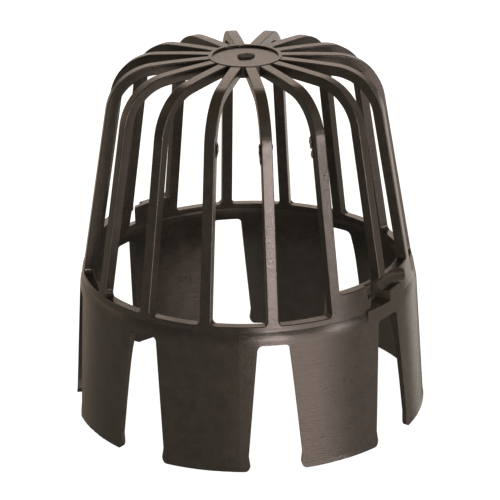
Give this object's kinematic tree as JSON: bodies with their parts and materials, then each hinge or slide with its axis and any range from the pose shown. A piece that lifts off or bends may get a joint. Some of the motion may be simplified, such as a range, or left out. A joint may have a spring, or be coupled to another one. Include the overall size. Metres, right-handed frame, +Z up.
{
  "type": "downpipe leaf guard",
  "caption": "Domed cage of slim bars on a collar with flared sprung tongues; it plugs into a round rainwater outlet and keeps leaves out of the pipe.",
  "frame": {"origin": "on the axis, at the level of the tongue tips", "axes": "+Z up along the axis, from the tongue tips towards the flat crown; -Y is the side that faces the viewer"},
  "size_m": [0.0694, 0.0694, 0.0708],
  "materials": {
    "black_plastic": "satin moulded black-brown polypropylene"
  },
  "bodies": {
    "root": {"leaf_guard": "black_plastic"}
  },
  "joints": []
}
